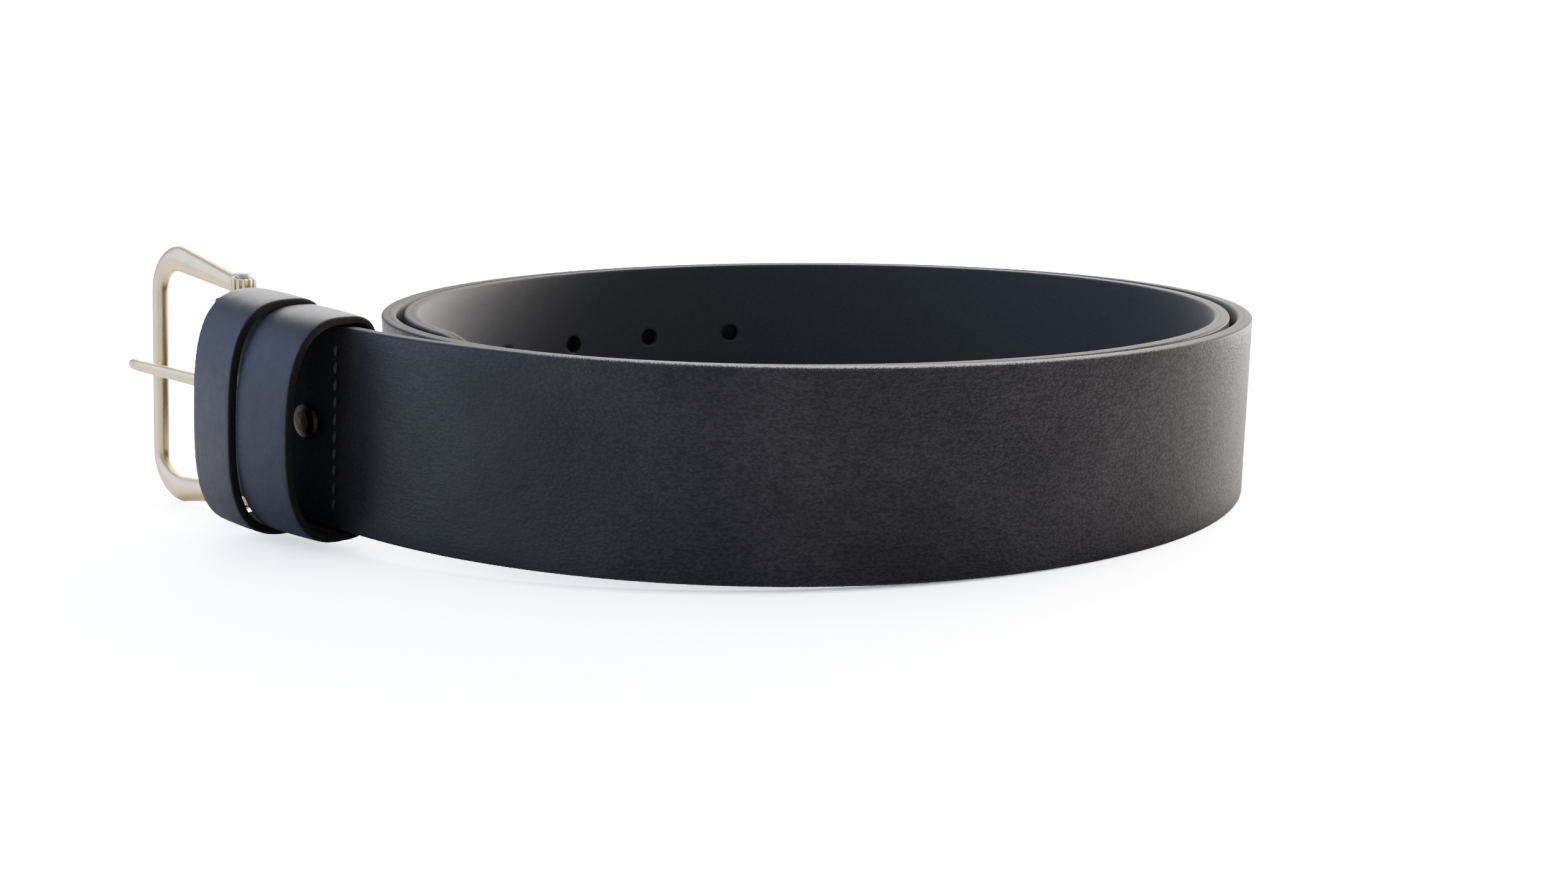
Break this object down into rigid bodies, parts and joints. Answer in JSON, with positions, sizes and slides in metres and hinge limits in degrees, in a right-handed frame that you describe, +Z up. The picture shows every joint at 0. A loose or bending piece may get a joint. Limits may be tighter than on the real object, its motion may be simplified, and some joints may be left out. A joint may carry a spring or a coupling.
{
  "type": "leather belt",
  "caption": "Leather dress belt wound into a standing coil, with a prong buckle on a folded tail, a clamped keeper, a sliding keeper and a punched, pointed tip.",
  "frame": {"origin": "centre of the bounding box's base, on the surface the belt stands on", "axes": "+Z up; the buckle's tail lies along X with the buckle towards -X and the grain side facing -Y"},
  "size_m": [0.206, 0.2316, 0.0564],
  "materials": {
    "strap_leather": "fine pebble grain, satin",
    "keeper_leather": "smooth grain, satin",
    "thread": "waxed thread",
    "buckle_metal": "polished, warm tint",
    "steel": "satin",
    "brass": "polished"
  },
  "bodies": {
    "belt": {"strap": "strap_leather", "fixed_keeper": "keeper_leather", "screw_post_1": "brass", "screw_1": "brass", "screw_post_2": "brass", "screw_2": "brass", "face_thread": "thread", "back_thread": "thread"},
    "buckle": {"buckle_frame": "buckle_metal", "heel_bar": "steel"},
    "tongue": {"prong": "buckle_metal"},
    "slider": {"loose_keeper": "keeper_leather", "loose_keeper_staple_1": "steel", "loose_keeper_staple_2": "steel"}
  },
  "joints": [
    {"name": "buckle_hinge", "type": "hinge", "parent": "belt", "child": "buckle", "pos_m": [-0.06352, -0.09508, 0.02675], "axis": [0.0528, 0.0523, 0.9972], "range_deg": [-25, 40]},
    {"name": "prong_hinge", "type": "hinge", "parent": "buckle", "child": "tongue", "pos_m": [-0.06344, -0.095, 0.02824], "axis": [0.0528, 0.0523, 0.9972], "range_deg": [0, 60]},
    {"name": "keeper_slide", "type": "slide", "parent": "belt", "child": "slider", "axis": [0.9986, 0, -0.0529], "range_m": [0, 0.013]}
  ]
}
